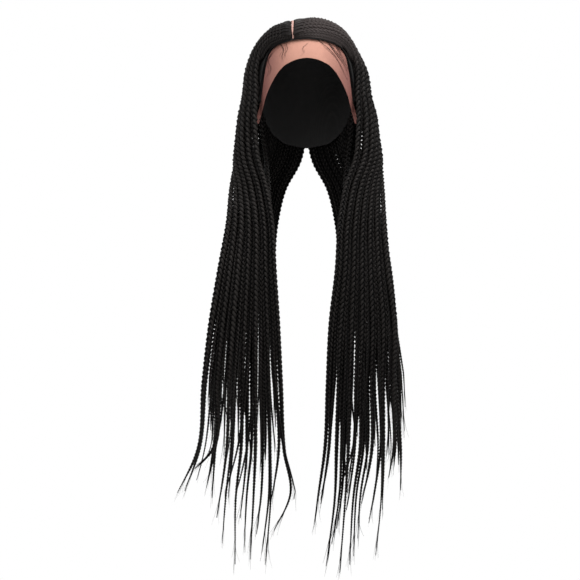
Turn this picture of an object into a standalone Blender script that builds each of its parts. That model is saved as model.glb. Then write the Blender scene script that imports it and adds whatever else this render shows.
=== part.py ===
"""Braid wig: a lace-front cap whose braids hang over the front of both shoulders.

Metres, +Z up, the face looks along -Y and +X is on the right in the front view.
The origin is where the crown of the head meets the inside of the cap.
Run it with blender --background --python part.py.
"""

import math
from collections import namedtuple

import bmesh
import bpy
from mathutils import Vector

MM = 0.001

# The dome of the head, outside the cap, and the cap itself
DOME_HALF_WIDTH = 77 * MM
DOME_HALF_DEPTH = 97 * MM
DOME_HEIGHT = 110 * MM
TEMPLE_Z = -108 * MM
DOME_POWER = 2.5
NECK_DROP_PER_DEGREE = 1.9 * MM
NECK_TAPER = 0.1
CAP_WALL = 2 * MM
CAP_GRID = 16

# The lace lies under the cap's front edge
LACE_WALL = 1 * MM
LACE_LIFT = -4.5 * MM
LACE_TUCK = 5 * MM
LACE_STEPS_ACROSS = 3
LACE_STEPS_PER_SPAN = 2
TAB_CLAMP = 0.955

# The part, an off-centre line from the hairline back over the crown
PART_FRONT_X = -21 * MM
PART_LEAN = 0.12
PART_LEANS_TO = -12
PART_HALF_WIDTH = 1.2 * MM
PART_LIFT = 0.7 * MM
PART_HEIGHTS = (0.8 * MM, 6.6 * MM)
PART_RISES_OVER = 14
PART_STEPS = 14
PART_START_ANGLE = -42
PART_END_ANGLE = 13

# Rows of braids over the crown; angles are degrees from the crown along the dome
ROWS_ON_PART = 11
FRONT_ROWS = 7
BACK_ROWS = 11
FIRST_ROW_ANGLE = -38.5
ROW_STEP_ANGLE = 4.69
ROW_START_OFFSETS = {
    "left": [1.9, 1.95, 2.0, 2.1, 2.25, 2.45, 2.7, 2.8],
    "right": [1.6, 1.6, 1.6, 1.65, 1.65, 1.65, 1.65, 1.9, 2.3, 2.4],
}
FAN_RADIUS_ANGLE = 5.6
FAN_STEP = 11.5
EAR_START = 68
EAR_STEP_FRONT = 6.5
EAR_STEP_BACK = 6.35
ROW_BOW = 17
ROW_BOW_STEP = 1.0
BOW_SKEW = {"left": 1.4, "right": 2.4}
ROW_RINGS = {"left": 5, "right": 7}
ROW_ROOT_RADIUS = 3.25 * MM
ROW_GROWTH = 1.4
FAN_ROOT_RADIUS = 0.7 * MM
ROOT_SEAT = 0.1 * MM
FAN_ROOT_SEAT = -0.8 * MM
SEAT = 1.3 * MM

# How far the front rows stand off the dome at the ears, over the braids under them
EAR_LIFT = [0, 5 * MM, 10 * MM, 12 * MM, 12 * MM, 11 * MM, 8 * MM, 4 * MM]
EAR_LIFT_STARTS = {"left": 0.22, "right": 0.6}

# The rows stand fuller over the crown, between the part and the sides
CROWN_LIFT = {"left": 3.6 * MM, "right": 2.9 * MM}
CROWN_ROOT_SHARE = 0.6
CROWN_ROW_SHARES = [0.5, 0.75, 0.9, 1]
CROWN_RISES_TO = 0.16
CROWN_FADES = (0.4, 0.85)

# The middle layer is rooted on the side of the cap, the inner layer under its rim
MID_BRAIDS = 6
MID_ROOT_ANGLE = 75
MID_FIRST = 82
MID_STEP = 5.6
MID_EAR_SHARES = (0.3, 1.06)
MID_CHEST_SHARES = (0.08, 1.0)
MID_SPREADS_FROM = -165
MID_SPREADS_TO = -300
MID_ROOT_RADIUS = 2.4 * MM
MID_ROOT_SEAT = 0.5 * MM
LAYER_STEP = 10.8 * MM
IN_BRAIDS = 4
IN_FIRST = 100
IN_STEP = 8.5
IN_ROOT_DROPS = [2.0 * MM, 1.5 * MM, 2.4 * MM, 2.4 * MM]
IN_ROOT_RADIUS = 2.2 * MM
IN_ROOT_LIFT = -3.6 * MM

# Braid radii: the front ones taper by level, the back ones are a little finer
BRAID_CLEARANCE = 1.1 * MM
MID_SHARE = 0.85
IN_SHARE = 0.9
BACK_SHARE = 0.86
TIP_RADIUS = 0.8 * MM
TUBE_RESOLUTION = 1
SETTLE_ROUNDS = 200

Level = namedtuple("Level", "z radius")
LEVELS = [
    Level(-108, 4.9),
    Level(-135, 4.9),
    Level(-165, 4.9),
    Level(-200, 4.7),
    Level(-245, 4.5),
    Level(-300, 4.6),
    Level(-370, 4.8),
    Level(-450, 4.5),
    Level(-540, 3.8),
    Level(-640, 2.8),
]

# Where the front curtain of braids hangs, in mm from the middle of the face
Section = namedtuple("Section", "z in_left in_right in_y out_left out_right out_y bulge")
FRONT_SECTIONS = [
    Section(-135, 79, 79, -43, 96.5, 99.5, 28, 11.5),
    Section(-165, 78, 78, -50, 100.5, 103.5, 18, 13),
    Section(-200, 75, 75, -60, 106, 109.5, 6, 12),
    Section(-245, 63, 60, -84, 113, 113.5, -28, 5),
    Section(-300, 53.5, 50, -112, 117.5, 115.5, -72, 2),
    Section(-370, 50, 45.5, -128, 129.5, 121, -100, 0),
    Section(-450, 44.5, 36, -134, 143, 130.5, -110, 0),
    Section(-540, 39.5, 31, -136, 154, 129, -112, 0),
    Section(-640, 34, 26, -136, 163, 131, -112, 0),
]

# The inner layer beside the neck and the back braids, the same on both sides
Run = namedtuple("Run", "z in_x in_y out_x out_y")
IN_RUNS = [
    Run(-135, 70, 14, 66, 50),
    Run(-165, 67, 12, 61, 52),
    Run(-200, 62, 0, 60, 42),
    Run(-245, 58, -28, 76, 12),
    Run(-300, 58, -72, 93, -38),
    Run(-370, 59, -100, 106, -74),
    Run(-450, 60, -112, 121, -88),
    Run(-540, 58, -116, 132, -92),
    Run(-640, 55, -116, 140, -92),
]
BACK_RUNS = [
    Run(-108, 4, 102, 76, 41),
    Run(-135, 5, 101, 76, 44),
    Run(-165, 9, 98, 77, 48),
    Run(-200, 22, 95, 84, 52),
    Run(-245, 38, 96, 97, 58),
    Run(-300, 48, 100, 111, 64),
    Run(-370, 52, 104, 124, 66),
    Run(-450, 52, 106, 135, 66),
    Run(-540, 50, 105, 142, 68),
    Run(-640, 48, 103, 146, 70),
]
BACK_HANG_STARTS = -150
BACK_HANG_ENDS = -235
BACK_TIP_Z = -600
BACK_TIP_STEP = 37
BACK_TIP_SPREAD = 88

# The tips of the front braids, in mm, from the innermost to the outermost
Tip = namedtuple("Tip", "x z")
TIPS = {
    "left": [
        Tip(51, -762), Tip(55, -724), Tip(63, -816), Tip(68, -796), Tip(76, -769),
        Tip(85, -806), Tip(94, -788), Tip(100, -746), Tip(107, -814), Tip(118, -716),
        Tip(127, -784), Tip(135, -744), Tip(142, -716), Tip(151, -700), Tip(171, -671),
        Tip(184, -705), Tip(195, -707),
    ],
    "right": [
        Tip(9.5, -754), Tip(19.5, -724), Tip(27.5, -816), Tip(36, -784), Tip(43, -761),
        Tip(48, -826), Tip(58, -733), Tip(63, -814), Tip(69, -803), Tip(75, -776),
        Tip(80, -724), Tip(91, -754), Tip(102, -803), Tip(112, -733), Tip(121, -686),
        Tip(129, -668), Tip(140, -705),
    ],
}
TIP_CLEAR = 25 * MM

# Long braids swing out a little before their tip, the innermost left one the most
SWAY_Z = -702
SWAY_ROOM = 45
SWAY_RADIUS = 1.8
SWAY = 4
SWAY_TURN = 0.6
INNERMOST_SWAY = 18

# The cap's rim, from the forehead round to the nape: degrees from the face and height
Rim = namedtuple("Rim", "angle z")
RIM = [
    Rim(0, -24), Rim(22, -26), Rim(43, -31.5), Rim(58, -39), Rim(66, -52), Rim(70, -80),
    Rim(73, -112), Rim(80, -118), Rim(95, -106), Rim(112, -128), Rim(130, -158),
    Rim(150, -178), Rim(180, -185),
]

# The lace from the middle of the forehead to the end of the ear tab, in mm
Lace = namedtuple("Lace", "hair_x hair_z edge_x edge_z")
LACE = [
    Lace(0, -24, 0, -52),
    Lace(20, -26, 18, -55),
    Lace(40, -31, 35, -63),
    Lace(53.5, -39, 45, -73),
    Lace(62, -52, 53, -85),
    Lace(67, -76, 60, -98),
    Lace(70, -98, 66, -112),
    Lace(73, -117, 69, -124),
    Lace(78, -134, 73, -138),
    Lace(80, -149, 76, -151),
]

Finish = namedtuple("Finish", "colour roughness")
HAIR = Finish((0.004, 0.004, 0.0045), 0.42)
NET = Finish((0.008, 0.008, 0.009), 0.8)
LACE_TAN = Finish((0.55, 0.3, 0.22), 0.7)
SKIN = Finish((0.42, 0.24, 0.19), 0.6)

SIDE_SIGN = {"left": -1, "right": 1}


def clear_scene():
    """Remove the objects that Blender starts with."""
    for found in list(bpy.data.objects):
        bpy.data.objects.remove(found, do_unlink=True)


def material(name, finish):
    """Make a Principled material."""
    made = bpy.data.materials.new(name)
    made.use_nodes = True
    shader = made.node_tree.nodes["Principled BSDF"]
    shader.inputs["Base Color"].default_value = (*finish.colour, 1)
    shader.inputs["Roughness"].default_value = finish.roughness
    shader.inputs["Metallic"].default_value = 0
    made.diffuse_color = (*finish.colour, 1)
    return made


def mix(a, b, share):
    """A value between a and b."""
    return a + (b - a) * share


def smooth_step(value):
    """0 below 0, 1 above 1, and an even curve between."""
    value = min(max(value, 0), 1)
    return value * value * (3 - 2 * value)


def read_table(rows, key, value, field):
    """A column of a table at a value of its key column, straight between the rows."""
    for first, second in zip(rows, rows[1:]):
        start, end = getattr(first, key), getattr(second, key)
        if min(start, end) <= value <= max(start, end):
            share = (value - start) / (end - start)
            return mix(getattr(first, field), getattr(second, field), share)
    nearest = min(rows, key=lambda row: abs(getattr(row, key) - value))
    return getattr(nearest, field)


def dome_share(z):
    """The dome's width at a height, as a share of its width at the temples."""
    if z >= TEMPLE_Z:
        up = min((z - TEMPLE_Z) / DOME_HEIGHT, 1)
        return (1 - up**DOME_POWER) ** (1 / DOME_POWER)
    below = (TEMPLE_Z - z) / (45 * NECK_DROP_PER_DEGREE)
    return 1 - NECK_TAPER * below * below


def height_at(angle):
    """The height of a point that is some degrees from the crown."""
    if angle > 90:
        return TEMPLE_Z - (angle - 90) * NECK_DROP_PER_DEGREE
    return TEMPLE_Z + DOME_HEIGHT * math.cos(math.radians(angle)) ** (2 / DOME_POWER)


def angle_at(z):
    """The degrees from the crown of a point at a height."""
    if z < TEMPLE_Z:
        return 90 + (TEMPLE_Z - z) / NECK_DROP_PER_DEGREE
    up = min((z - TEMPLE_Z) / DOME_HEIGHT, 1)
    return math.degrees(math.acos(up ** (DOME_POWER / 2)))


def dome_point(angle, turn, lift):
    """A point over the dome: degrees from the crown, degrees round from the face, and lift."""
    z = height_at(angle)
    share = dome_share(z)
    x = DOME_HALF_WIDTH * share * math.sin(math.radians(turn))
    y = -DOME_HALF_DEPTH * share * math.cos(math.radians(turn))
    up = max(z - TEMPLE_Z, 0)
    normal = Vector((x / DOME_HALF_WIDTH**2, y / DOME_HALF_DEPTH**2, up / DOME_HEIGHT**2))
    return Vector((x, y, z)) + normal.normalized() * lift


def chart_point(across, back, lift):
    """A point over the dome from degrees to the right of and behind the crown."""
    return dome_point(math.hypot(across, back), math.degrees(math.atan2(across, -back)), lift)


def front_point(x, z, lift):
    """The point of the dome's front that shows at x and z, lifted off it."""
    share = dome_share(z)
    sine = max(min(x / (DOME_HALF_WIDTH * share), TAB_CLAMP), -TAB_CLAMP)
    y = -DOME_HALF_DEPTH * share * math.sqrt(1 - sine * sine)
    up = max(z - TEMPLE_Z, 0)
    normal = Vector((x / DOME_HALF_WIDTH**2, y / DOME_HALF_DEPTH**2, up / DOME_HEIGHT**2))
    return Vector((x, y, z)) + normal.normalized() * lift


def rim_angle(turn):
    """How far the cap reaches from the crown, in degrees, at a turn from the face."""
    return angle_at(read_table(RIM, "angle", abs(turn), "z") * MM)


def add_object(name, data, finish, collection):
    """Put a mesh or curve into the collection with its material."""
    made = bpy.data.objects.new(name, data)
    made.data.materials.append(finish)
    collection.objects.link(made)
    return made


def add_wall(target, thickness):
    """Give an open surface a wall on its inner side."""
    wall = target.modifiers.new("Wall", "SOLIDIFY")
    wall.thickness = thickness
    wall.offset = -1
    wall.use_even_offset = True


def shade_round(mesh):
    """Shade a mesh smooth, with its rims sharp."""
    mesh.shade_smooth()
    mesh.set_sharp_from_angle(angle=math.radians(50))


def square_to_disc(u, v):
    """Map a square onto a disc: the share of the radius and the degrees from the face."""
    if u == 0 and v == 0:
        return 0, 0
    if abs(u) >= abs(v):
        share, turn = abs(u), math.copysign(90, u) - 45 * v / -u
    else:
        share, turn = abs(v), (0 if v < 0 else 180) + 45 * u / -v
    return share, (turn + 180) % 360 - 180


def make_cap(collection, finish):
    """The hollow cap: a square grid bent over the dome as far as the rim."""
    shape = bmesh.new()
    bmesh.ops.create_grid(shape, x_segments=CAP_GRID, y_segments=CAP_GRID, size=1)
    for vertex in shape.verts:
        share, turn = square_to_disc(vertex.co.x, vertex.co.y)
        vertex.co = dome_point(share * rim_angle(turn), turn, 0)
    bmesh.ops.recalc_face_normals(shape, faces=shape.faces)
    crown = max(shape.faces, key=lambda face: face.calc_center_median().z)
    if crown.normal.z < 0:
        bmesh.ops.reverse_faces(shape, faces=shape.faces)
    mesh = bpy.data.meshes.new("cap")
    shape.to_mesh(mesh)
    shape.free()
    shade_round(mesh)
    add_wall(add_object("cap", mesh, finish, collection), CAP_WALL)


def lace_row(place):
    """The hair edge and the free edge of the lace, at a place counted in table rows."""
    side = math.copysign(1, place)
    place = min(abs(place), len(LACE) - 1)
    index = min(int(place), len(LACE) - 2)
    first, second, share = LACE[index], LACE[index + 1], place - index
    hair_x, hair_z, edge_x, edge_z = (mix(a, b, share) * MM for a, b in zip(first, second))
    return (side * hair_x, hair_z + LACE_TUCK * (1 - smooth_step(place - 6))), (side * edge_x, edge_z)


def make_lace(collection, finish):
    """The lace front with its ear tabs: a grid along the hairline, tucked under the cap."""
    spans = 2 * (len(LACE) - 1)
    shape = bmesh.new()
    bmesh.ops.create_grid(
        shape, x_segments=spans * LACE_STEPS_PER_SPAN, y_segments=LACE_STEPS_ACROSS, size=1
    )
    for vertex in shape.verts:
        hair, edge = lace_row(vertex.co.x * spans / 2)
        share = (1 - vertex.co.y) / 2
        x, z = mix(hair[0], edge[0], share), mix(hair[1], edge[1], share)
        vertex.co = front_point(x, z, LACE_LIFT + LACE_WALL)
    bmesh.ops.recalc_face_normals(shape, faces=shape.faces)
    if sum((face.normal for face in shape.faces), Vector()).y > 0:
        bmesh.ops.reverse_faces(shape, faces=shape.faces)
    mesh = bpy.data.meshes.new("lace_front")
    shape.to_mesh(mesh)
    shape.free()
    shade_round(mesh)
    add_wall(add_object("lace_front", mesh, finish, collection), LACE_WALL)


def part_across(back):
    """Where the part lies to the right of the crown, in degrees, that far back."""
    leaning = min(back, PART_LEANS_TO) - PART_START_ANGLE
    x = PART_FRONT_X + PART_LEAN * leaning * DOME_HALF_DEPTH * math.pi / 180
    return math.degrees(x / DOME_HALF_WIDTH)


def make_part(collection, finish):
    """The skin-toned strip of the part: it stands on the cap, up to between the rows."""
    half = math.degrees(PART_HALF_WIDTH / DOME_HALF_WIDTH)
    shape = bmesh.new()
    bmesh.ops.create_grid(shape, x_segments=1, y_segments=PART_STEPS, size=1)
    bmesh.ops.solidify(shape, geom=shape.faces, thickness=1)
    middle = sum(vertex.co.z for vertex in shape.verts) / len(shape.verts)
    for vertex in shape.verts:
        back = mix(PART_START_ANGLE, PART_END_ANGLE, (vertex.co.y + 1) / 2)
        across = part_across(back) + half * vertex.co.x
        risen = smooth_step((back - PART_START_ANGLE) / PART_RISES_OVER)
        height = mix(*PART_HEIGHTS, risen) if vertex.co.z > middle else 0
        vertex.co = chart_point(across, back, PART_LIFT + height)
    bmesh.ops.recalc_face_normals(shape, faces=shape.faces)
    mesh = bpy.data.meshes.new("part_strip")
    shape.to_mesh(mesh)
    shape.free()
    add_object("part_strip", mesh, finish, collection)


class Braid:
    """One braid: rings on the head, then a ring at each level, then the tip."""

    def __init__(self, name, side, top_rings, hang, radius_share):
        self.name = name
        self.side = side
        self.top_rings = top_rings
        self.hang = hang
        self.radius_share = radius_share
        self.tip = None
        self.sway = None

    def radius(self, level):
        return level.radius * MM * self.radius_share


def row_start(index, side):
    """Where a row leaves the part, in degrees across and back, and its radius there."""
    sign = SIDE_SIGN[side]
    if index < ROWS_ON_PART:
        back = FIRST_ROW_ANGLE + index * ROW_STEP_ANGLE
        offsets = ROW_START_OFFSETS[side]
        offset = sign * offsets[min(index, len(offsets) - 1)]
        return part_across(back) + offset, back, ROW_ROOT_RADIUS
    turn = math.radians(90 + (index - ROWS_ON_PART + 1) * FAN_STEP)
    across = part_across(PART_END_ANGLE) + sign * FAN_RADIUS_ANGLE * math.sin(turn)
    return across, PART_END_ANGLE - FAN_RADIUS_ANGLE * math.cos(turn), FAN_ROOT_RADIUS


def row_turn(index):
    """The degrees from the face at which a row passes the ear or the back of the head."""
    if index < FRONT_ROWS:
        return EAR_START + index * EAR_STEP_FRONT
    return EAR_START + FRONT_ROWS * EAR_STEP_FRONT + (index - FRONT_ROWS) * EAR_STEP_BACK


def crown_lift(share, side, index):
    """How much fuller a row stands over the crown, at a share of its way to the ear."""
    fades_from, fades_to = CROWN_FADES
    faded = smooth_step((share - fades_from) / (fades_to - fades_from))
    root_share = CROWN_ROOT_SHARE if index < ROWS_ON_PART else 0
    risen = mix(root_share, 1, smooth_step(share / CROWN_RISES_TO))
    row_share = CROWN_ROW_SHARES[min(index, len(CROWN_ROW_SHARES) - 1)]
    return CROWN_LIFT[side] * row_share * risen * (1 - faded)


def row_rings(index, side, end_radius):
    """The rings of a row over the crown, from the part to just above the first level."""
    sign = SIDE_SIGN[side]
    across, back, root_radius = row_start(index, side)
    turn = math.radians(row_turn(index))
    end_across, end_back = sign * 90 * math.sin(turn), -90 * math.cos(turn)
    bow = max(ROW_BOW - ROW_BOW_STEP * index, 0)
    extra = EAR_LIFT[index] if index < len(EAR_LIFT) else 0
    starts = EAR_LIFT_STARTS[side]
    root_seat = ROOT_SEAT if index < ROWS_ON_PART else FAN_ROOT_SEAT
    rings = []
    for step in range(ROW_RINGS[side]):
        share = step / ROW_RINGS[side]
        radius = mix(root_radius, end_radius, share**ROW_GROWTH)
        raised = extra * smooth_step((share - starts) / (1 - starts)) + crown_lift(share, side, index)
        rise = bow * math.sin(math.pi * share ** BOW_SKEW[side])
        place = mix(across, end_across, share), mix(back, end_back, share) + rise
        seat = SEAT if step else root_seat
        rings.append((chart_point(*place, seat + radius + raised), radius))
    return rings


def front_place(side, share, z):
    """Where the front curtain hangs at a height, from its inner edge, 0, to its outer, 1."""
    row = {f: read_table(FRONT_SECTIONS, "z", z, f) for f in Section._fields}
    across = mix(row["in_" + side], row["out_" + side], share)
    across += 4 * row["bulge"] * max(share * (1 - share), 0)
    return Vector((SIDE_SIGN[side] * across, mix(row["in_y"], row["out_y"], share))) * MM


def run_place(runs, side, share, z, curved):
    """Where a braid of the inner or back layer hangs, from inner, 0, to outer, 1."""
    row = {f: read_table(runs, "z", z, f) for f in Run._fields}
    if curved:
        sine, cosine = math.sin(share * math.pi / 2), math.cos(share * math.pi / 2)
        x, y = mix(row["in_x"], row["out_x"], sine), mix(row["out_y"], row["in_y"], cosine)
    else:
        x, y = mix(row["in_x"], row["out_x"], share), mix(row["in_y"], row["out_y"], share)
    return Vector((SIDE_SIGN[side] * x, y)) * MM


def ear_place(side, turn, lift):
    """Where a braid hangs at the first level, on the dome."""
    point = dome_point(90, SIDE_SIGN[side] * turn, lift)
    return Vector((point.x, point.y))


def out_braid(side, index):
    """A braid of the outer front layer, from the part."""
    share = index / (FRONT_ROWS - 1)
    radius = LEVELS[0].radius * MM
    lift = SEAT + radius + EAR_LIFT[index]

    def hang(z):
        if z == LEVELS[0].z:
            return ear_place(side, row_turn(index), lift)
        return front_place(side, share, z)

    rings = row_rings(index, side, radius)
    return Braid(f"braid_{side}_out_{index + 1}", side, rings, hang, 1)


def mid_braid(side, index):
    """A braid of the middle layer, rooted on the side of the cap under the outer layer."""
    rank = index / (MID_BRAIDS - 1)
    turn = MID_FIRST + index * MID_STEP
    root = dome_point(MID_ROOT_ANGLE, SIDE_SIGN[side] * turn, MID_ROOT_SEAT + MID_ROOT_RADIUS)

    def hang(z):
        if z == LEVELS[0].z:
            return ear_place(side, turn, SEAT + LEVELS[0].radius * MM)
        spread = smooth_step((z - MID_SPREADS_FROM) / (MID_SPREADS_TO - MID_SPREADS_FROM))
        share = mix(mix(*MID_EAR_SHARES, rank), mix(*MID_CHEST_SHARES, rank), spread)
        before, after = front_place(side, share - 0.02, z), front_place(side, share + 0.02, z)
        along = (after - before).normalized()
        inward = Vector((-along.y, along.x)) * SIDE_SIGN[side]
        return front_place(side, share, z) + inward * LAYER_STEP

    return Braid(f"braid_{side}_mid_{index + 1}", side, [(root, MID_ROOT_RADIUS)], hang, MID_SHARE)


def in_braid(side, index):
    """A braid of the inner layer, rooted under the cap's rim behind the ear."""
    turn = IN_FIRST + index * IN_STEP
    z = read_table(RIM, "angle", turn, "z") * MM - IN_ROOT_DROPS[index]
    root = dome_point(angle_at(z), SIDE_SIGN[side] * turn, IN_ROOT_LIFT)
    share = index / (IN_BRAIDS - 1)

    def hang(z):
        return run_place(IN_RUNS, side, share, z, False)

    return Braid(f"braid_{side}_in_{index + 1}", side, [(root, IN_ROOT_RADIUS)], hang, IN_SHARE)


def back_braid(side, index):
    """A braid of the back, from the rear of the part over the back of the head."""
    row = index + FRONT_ROWS
    share = 1 - index / (BACK_ROWS - 1)
    radius = LEVELS[0].radius * MM * BACK_SHARE
    extra = EAR_LIFT[row] if row < len(EAR_LIFT) else 0

    def hang(z):
        hung = smooth_step((BACK_HANG_STARTS - z) / (BACK_HANG_STARTS - BACK_HANG_ENDS))
        on_head = dome_point(
            angle_at(z * MM), SIDE_SIGN[side] * row_turn(row), SEAT + radius + extra
        )
        return Vector((on_head.x, on_head.y)).lerp(run_place(BACK_RUNS, side, share, z, True), hung)

    rings = row_rings(row, side, radius)
    braid = Braid(f"braid_{side}_back_{index + 1}", side, rings, hang, BACK_SHARE)
    place = run_place(BACK_RUNS, side, share, LEVELS[-1].z, True)
    z = BACK_TIP_Z - (index * BACK_TIP_STEP) % BACK_TIP_SPREAD
    braid.tip = Vector((place.x, place.y, z * MM))
    return braid


def set_tips(side, braids):
    """Give each front braid the tip that lies in its own order from the inner edge."""
    order = sorted(braids, key=lambda braid: abs(braid.hang(LEVELS[-1].z).x))
    for number, (braid, tip) in enumerate(zip(order, TIPS[side])):
        y = braid.hang(LEVELS[-1].z).y
        braid.tip = Vector((SIDE_SIGN[side] * tip.x * MM, y, tip.z * MM))
        if tip.z < SWAY_Z - SWAY_ROOM:
            braid.sway = SWAY * math.sin(number * SWAY_TURN) * MM
    if side == "left":
        order[0].sway = INNERMOST_SWAY * MM


def sway_ring(braid, last):
    """The ring between the last level and the tip, swung a little to one side."""
    share = (SWAY_Z * MM - last.z) / (braid.tip.z - last.z)
    return last.lerp(braid.tip, share) + Vector((braid.sway, 0, 0)), SWAY_RADIUS * MM


def leans(braid, index):
    """How far a braid moves sideways for each metre that it drops, above and below a level."""
    found = []
    for upper in (index - 1, index):
        above, below = LEVELS[max(upper, 0)], LEVELS[min(upper + 1, len(LEVELS) - 1)]
        drop = max(above.z - below.z, 1) * MM
        found.append((braid.hang(below.z) - braid.hang(above.z)) / drop)
    return found


def clear_distance(gap, lean):
    """The distance between two braids that lean alike and are a gap apart at one height."""
    along = gap.dot(lean)
    return math.sqrt(max(gap.length_squared - along * along / (1 + lean.length_squared), 0))


def settle(braids, index):
    """Set braids side by side at one level: where two would touch, both give way."""
    level = LEVELS[index]
    here = [braid for braid in braids if braid.tip.z < level.z * MM - TIP_CLEAR or index == 0]
    places = {braid.name: braid.hang(level.z) for braid in here}
    slants = {braid.name: leans(braid, index) for braid in here}
    for _ in range(SETTLE_ROUNDS):
        moved = False
        for number, first in enumerate(here):
            for second in here[number + 1 :]:
                gap = places[second.name] - places[first.name]
                need = first.radius(level) + second.radius(level) + BRAID_CLEARANCE
                if gap.length > 2 * need:
                    continue
                apart = min(
                    clear_distance(gap, (a + b) / 2)
                    for a, b in zip(slants[first.name], slants[second.name])
                )
                if apart < need:
                    push = gap.normalized() * (need - apart) * 0.55
                    places[first.name] -= push
                    places[second.name] += push
                    moved = True
        if not moved:
            break
    return places


def make_braids(collection, finish):
    """All the braids, settled beside each other, as tapered tubes."""
    braids = []
    for side in SIDE_SIGN:
        front = [out_braid(side, index) for index in range(FRONT_ROWS)]
        front += [mid_braid(side, index) for index in range(MID_BRAIDS)]
        front += [in_braid(side, index) for index in range(IN_BRAIDS)]
        set_tips(side, front)
        braids += front
        braids += [back_braid(side, index) for index in range(BACK_ROWS)]
    settled = [settle(braids, index) for index in range(len(LEVELS))]
    for braid in braids:
        rings = list(braid.top_rings)
        for level, places in zip(LEVELS, settled):
            if braid.name in places and level.z * MM < rings[-1][0].z - 0.004:
                place = places[braid.name]
                rings.append((Vector((place.x, place.y, level.z * MM)), braid.radius(level)))
        if braid.sway is not None:
            rings.append(sway_ring(braid, rings[-1][0]))
        rings.append((braid.tip, TIP_RADIUS))
        add_tube(braid.name, rings, finish, collection)


def add_tube(name, rings, finish, collection):
    """A closed tapered tube through rings, each a centre and a radius."""
    curve = bpy.data.curves.new(name, "CURVE")
    curve.dimensions = "3D"
    curve.bevel_depth = 1
    curve.bevel_resolution = TUBE_RESOLUTION
    curve.use_fill_caps = True
    line = curve.splines.new("POLY")
    line.points.add(len(rings) - 1)
    for point, (centre, radius) in zip(line.points, rings):
        point.co = (*centre, 1)
        point.radius = radius
    line.use_smooth = True
    add_object(name, curve, finish, collection)


def main():
    """Build the wig."""
    clear_scene()
    collection = bpy.data.collections.new("braid_wig")
    bpy.context.scene.collection.children.link(collection)
    make_cap(collection, material("stretch_net", NET))
    make_lace(collection, material("lace", LACE_TAN))
    make_part(collection, material("scalp_tone", SKIN))
    make_braids(collection, material("braiding_hair", HAIR))


main()
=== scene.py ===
"""Looks of a lace-front wig of long three-strand braids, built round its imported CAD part.

Metres, +Z up. The hairline looks along -Y, and +X is on the right in the front view.
"""

import logging
import math
import random
from dataclasses import dataclass, field
from enum import Enum

import bpy
import numpy as np
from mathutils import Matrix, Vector
from mathutils.bvhtree import BVHTree

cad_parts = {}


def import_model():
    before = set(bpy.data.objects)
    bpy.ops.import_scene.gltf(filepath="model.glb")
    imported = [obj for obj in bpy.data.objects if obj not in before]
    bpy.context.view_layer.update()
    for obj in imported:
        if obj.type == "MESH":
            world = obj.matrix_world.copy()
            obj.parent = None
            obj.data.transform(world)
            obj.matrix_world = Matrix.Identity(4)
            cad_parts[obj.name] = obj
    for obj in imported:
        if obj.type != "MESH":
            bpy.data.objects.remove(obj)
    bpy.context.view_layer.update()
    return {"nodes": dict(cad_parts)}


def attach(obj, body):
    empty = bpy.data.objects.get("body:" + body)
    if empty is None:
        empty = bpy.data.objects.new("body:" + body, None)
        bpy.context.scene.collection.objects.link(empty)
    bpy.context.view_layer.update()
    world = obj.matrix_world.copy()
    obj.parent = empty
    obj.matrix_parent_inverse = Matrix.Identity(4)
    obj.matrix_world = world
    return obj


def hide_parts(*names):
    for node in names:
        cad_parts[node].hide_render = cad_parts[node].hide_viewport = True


LOG = logging.getLogger("braid_wig")
MM = 0.001
SEED = 36
BRAID_SIDES = 6


class Side(Enum):
    """The two sides of the part, each with its sign along X."""

    LEFT = ("left", -1)
    RIGHT = ("right", 1)

    @property
    def word(self) -> str:
        """The side's word in the node names."""
        return self.value[0]

    @property
    def sign(self) -> int:
        """The sign of X on this side."""
        return self.value[1]


class Layer(Enum):
    """The layers of braids: node word, braids a side, sides of a strand, rings a plait."""

    OUT = ("out", 7, 7, 8)
    MID = ("mid", 6, 6, 8)
    IN = ("in", 4, 5, 6)
    BACK = ("back", 11, 5, 6)

    @property
    def word(self) -> str:
        """The layer's word in the node names."""
        return self.value[0]

    @property
    def count(self) -> int:
        """How many braids the layer has on each side."""
        return self.value[1]

    @property
    def strand_sides(self) -> int:
        """How many sides a strand's cross-section has."""
        return self.value[2]

    @property
    def rings_a_plait(self) -> int:
        """How many rings a strand has for each full turn of the plait."""
        return self.value[3]


def linear(hex_colour: str) -> tuple[float, float, float, float]:
    """Turn an sRGB hex colour into linear RGBA.

    Args:
        hex_colour: Six hex digits, such as "0d0d0e".

    Returns:
        Red, green, blue and alpha from 0 to 1.
    """
    parts = [int(hex_colour[i : i + 2], 16) / 255 for i in (0, 2, 4)]
    light = [c / 12.92 if c <= 0.04045 else ((c + 0.055) / 1.055) ** 2.4 for c in parts]
    return (*light, 1.0)


def add_node(
    tree: bpy.types.NodeTree, kind: str, inputs: dict | None = None, **settings: object
) -> bpy.types.Node:
    """Add a node with its settings, and set or link its inputs.

    Args:
        tree: The node tree of a material or the world.
        kind: The node's type name.
        inputs: Socket name or number to a value, or to the socket that feeds it.
        **settings: The node's own settings.

    Returns:
        The new node.
    """
    made = tree.nodes.new(kind)
    for name, value in settings.items():
        setattr(made, name, value)
    for key, value in (inputs or {}).items():
        if isinstance(value, bpy.types.NodeSocket):
            tree.links.new(value, made.inputs[key])
        else:
            made.inputs[key].default_value = value
    return made


def empty_material(name: str) -> tuple[bpy.types.Material, bpy.types.NodeTree]:
    """Make a material whose node tree holds nothing yet."""
    material = bpy.data.materials.new(name)
    material.use_nodes = True
    material.node_tree.nodes.clear()
    return material, material.node_tree


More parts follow.
